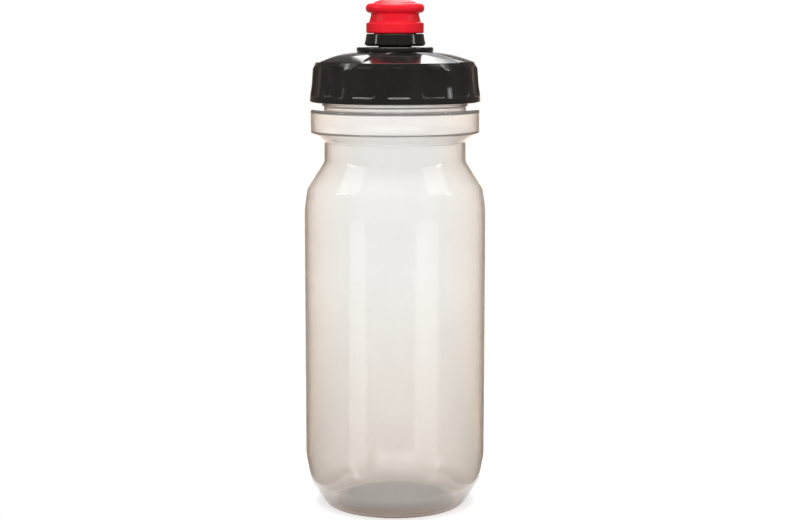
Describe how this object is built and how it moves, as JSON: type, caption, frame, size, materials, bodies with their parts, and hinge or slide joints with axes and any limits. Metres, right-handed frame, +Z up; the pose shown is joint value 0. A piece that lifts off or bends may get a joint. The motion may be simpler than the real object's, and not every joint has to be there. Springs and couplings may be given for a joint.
{
  "type": "bicycle water bottle",
  "caption": "Translucent squeeze bottle for a bicycle cage: blown body with a hollow ring under the neck, ribbed screw cap and pull valve with a soft mouthpiece.",
  "frame": {"origin": "centre of the base, on the surface that the bottle stands on", "axes": "+Z up the bottle's axis to the mouthpiece, -Y towards the front"},
  "size_m": [0.0734, 0.0734, 0.2048],
  "materials": {
    "body_plastic": "translucent smoke-tinted soft polyethylene, satin",
    "cap_plastic": "black moulded polypropylene, gloss",
    "spout_plastic": "black moulded plastic, gloss",
    "collar_plastic": "black moulded plastic, satin gloss",
    "mouthpiece_rubber": "red soft elastomer, satin",
    "gasket_rubber": "milky silicone, matt",
    "seal_rubber": "black rubber, matt"
  },
  "bodies": {
    "bottle": {"bottle_body": "body_plastic"},
    "cap_seal": {"cap_gasket": "gasket_rubber"},
    "cap": {"screw_cap": "cap_plastic", "spout_stem": "spout_plastic", "stem_seal": "seal_rubber"},
    "valve_ring": {"valve_seal": "gasket_rubber"},
    "valve": {"valve_slider": "collar_plastic", "mouthpiece": "mouthpiece_rubber"}
  },
  "joints": [
    {"name": "cap_lift", "type": "slide", "parent": "bottle", "child": "cap_seal", "axis": [0, 0, 1], "range_m": [0, 0.012]},
    {"name": "cap_turn", "type": "hinge", "parent": "cap_seal", "child": "cap", "pos_m": [0, 0, 0.1701], "axis": [0, 0, 1], "range_deg": [0, 720]},
    {"name": "valve_twist", "type": "hinge", "parent": "cap", "child": "valve_ring", "pos_m": [0, 0, 0.1964], "axis": [0, 0, 1], "continuous": true},
    {"name": "valve_pull", "type": "slide", "parent": "valve_ring", "child": "valve", "axis": [0, 0, 1], "range_m": [0, 0.007]}
  ],
  "couplings": [
    {"joint": "cap_lift", "follows": "cap_turn", "m_per_rad": 0.00095493}
  ]
}
